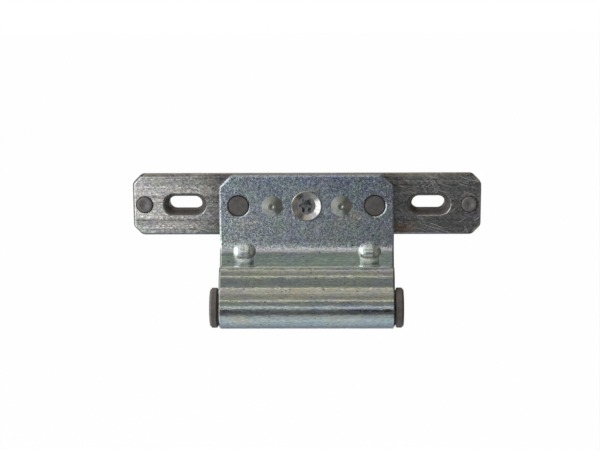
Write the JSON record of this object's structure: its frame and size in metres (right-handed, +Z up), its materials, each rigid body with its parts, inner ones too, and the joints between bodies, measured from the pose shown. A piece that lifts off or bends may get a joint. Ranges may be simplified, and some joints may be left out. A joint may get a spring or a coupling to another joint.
{
  "type": "transom hinge",
  "caption": "Barrel half of a transom hinge: a cranked steel leaf with a rolled, bushed eye, riveted to a slotted fixing bar with a plastic packer and a six-lobe setting screw.",
  "frame": {"origin": "middle of the pivot axis, halfway along the rolled eye", "axes": "+X along the bar and the pivot axis, -Y out of the front of the leaf, +Z up towards the bar"},
  "size_m": [0.124, 0.0271, 0.0535],
  "materials": {
    "zinc_sheet": "zinc plated, fine crystalline grain with a faint bluish and yellowish tint",
    "drawn_bar": "drawn steel with long streaks and light scratches",
    "rivet_steel": "zinc plated, upset head",
    "screw_steel": "zinc plated, turned",
    "grey_plastic": "matt, moulded",
    "bush_plastic": "matt, moulded"
  },
  "bodies": {
    "hinge": {"hinge_leaf": "zinc_sheet", "mounting_bar": "drawn_bar", "packer": "grey_plastic", "rivet_left": "rivet_steel", "rivet_right": "rivet_steel", "bush_left": "bush_plastic", "bush_right": "bush_plastic"},
    "screw": {"setting_screw": "screw_steel"}
  },
  "joints": [
    {"name": "screw_turn", "type": "hinge", "parent": "hinge", "child": "screw", "pos_m": [0, 0.011, 0.035], "axis": [0, 1, 0], "continuous": true}
  ]
}
